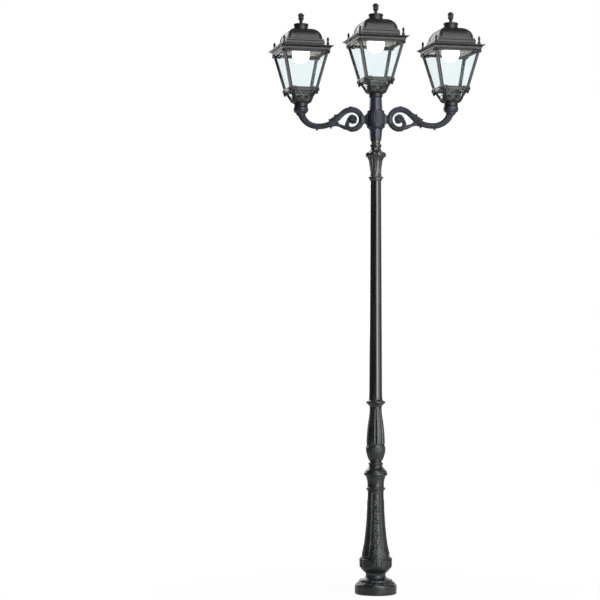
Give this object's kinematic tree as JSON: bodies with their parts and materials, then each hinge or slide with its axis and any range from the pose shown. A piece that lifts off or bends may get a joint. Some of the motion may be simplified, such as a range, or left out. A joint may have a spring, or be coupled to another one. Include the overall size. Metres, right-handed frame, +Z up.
{
  "type": "triple head lamp post",
  "caption": "Ornamental garden lamp post: panelled column, scrolled arms and square lanterns that swivel and open at the roof.",
  "frame": {"origin": "middle of the plinth's foot, on the ground", "axes": "+Z up along the post, X along the arms, -Y towards the front"},
  "size_m": [1.2198, 0.3798, 3.301],
  "materials": {
    "cast_black": "satin",
    "tube_paint": "gloss",
    "cast_green": "satin",
    "cast_blue": "gloss",
    "lantern_black": "matte",
    "galvanised": "matte",
    "bolt_steel": "satin",
    "cup_black": "matte",
    "clear_pane": "gloss",
    "seal_rubber": "matte",
    "reflector_cream": "satin",
    "opal": "gloss",
    "module_plate": "satin",
    "driver_case": "matte"
  },
  "bodies": {
    "post": {"foot_plate": "galvanised", "core_tube": "galvanised", "plinth": "cast_black", "base_column": "cast_black", "knop": "cast_black", "vase": "cast_black", "tapered_tube": "tube_paint", "capital": "cast_green", "hub": "cast_blue", "left_arm": "cast_blue", "right_arm": "cast_blue", "left_spigot": "galvanised", "right_spigot": "galvanised", "arm_bolts": "bolt_steel"},
    "left_head": {"left_cage": "lantern_black", "left_set_screws": "bolt_steel", "left_cable_cup": "cup_black", "left_frame": "lantern_black", "left_diffuser": "clear_pane", "left_roof_seal": "seal_rubber", "left_hinge_pin": "bolt_steel"},
    "left_roof": {"left_roof": "lantern_black", "left_chimney_cap": "lantern_black", "left_finial": "lantern_black", "left_pinnacles": "lantern_black", "left_reflector": "reflector_cream", "left_opal_bowl": "opal", "left_light_module": "module_plate", "left_driver": "driver_case"},
    "centre_head": {"centre_cage": "lantern_black", "centre_set_screws": "bolt_steel", "centre_cable_cup": "cup_black", "centre_frame": "lantern_black", "centre_diffuser": "clear_pane", "centre_roof_seal": "seal_rubber", "centre_hinge_pin": "bolt_steel"},
    "centre_roof": {"centre_roof": "lantern_black", "centre_chimney_cap": "lantern_black", "centre_finial": "lantern_black", "centre_pinnacles": "lantern_black", "centre_reflector": "reflector_cream", "centre_opal_bowl": "opal", "centre_light_module": "module_plate", "centre_driver": "driver_case"},
    "right_head": {"right_cage": "lantern_black", "right_set_screws": "bolt_steel", "right_cable_cup": "cup_black", "right_frame": "lantern_black", "right_diffuser": "clear_pane", "right_roof_seal": "seal_rubber", "right_hinge_pin": "bolt_steel"},
    "right_roof": {"right_roof": "lantern_black", "right_chimney_cap": "lantern_black", "right_finial": "lantern_black", "right_pinnacles": "lantern_black", "right_reflector": "reflector_cream", "right_opal_bowl": "opal", "right_light_module": "module_plate", "right_driver": "driver_case"}
  },
  "joints": [
    {"name": "left_swivel", "type": "hinge", "parent": "post", "child": "left_head", "pos_m": [-0.42, 0, 2.7155], "axis": [0, 0, 1], "range_deg": [-180, 180]},
    {"name": "left_roof_hinge", "type": "hinge", "parent": "left_head", "child": "left_roof", "pos_m": [-0.45955, 0.13794, 3.0308], "axis": [-0.9613, -0.2756, 0], "range_deg": [0, 95]},
    {"name": "centre_swivel", "type": "hinge", "parent": "post", "child": "centre_head", "pos_m": [0, 0, 2.7685], "axis": [0, 0, 1], "range_deg": [-180, 180]},
    {"name": "centre_roof_hinge", "type": "hinge", "parent": "centre_head", "child": "centre_roof", "pos_m": [-0.03955, 0.13794, 3.0838], "axis": [-0.9613, -0.2756, 0], "range_deg": [0, 95]},
    {"name": "right_swivel", "type": "hinge", "parent": "post", "child": "right_head", "pos_m": [0.42, 0, 2.7155], "axis": [0, 0, 1], "range_deg": [-180, 180]},
    {"name": "right_roof_hinge", "type": "hinge", "parent": "right_head", "child": "right_roof", "pos_m": [0.38045, 0.13794, 3.0308], "axis": [-0.9613, -0.2756, 0], "range_deg": [0, 95]}
  ]
}
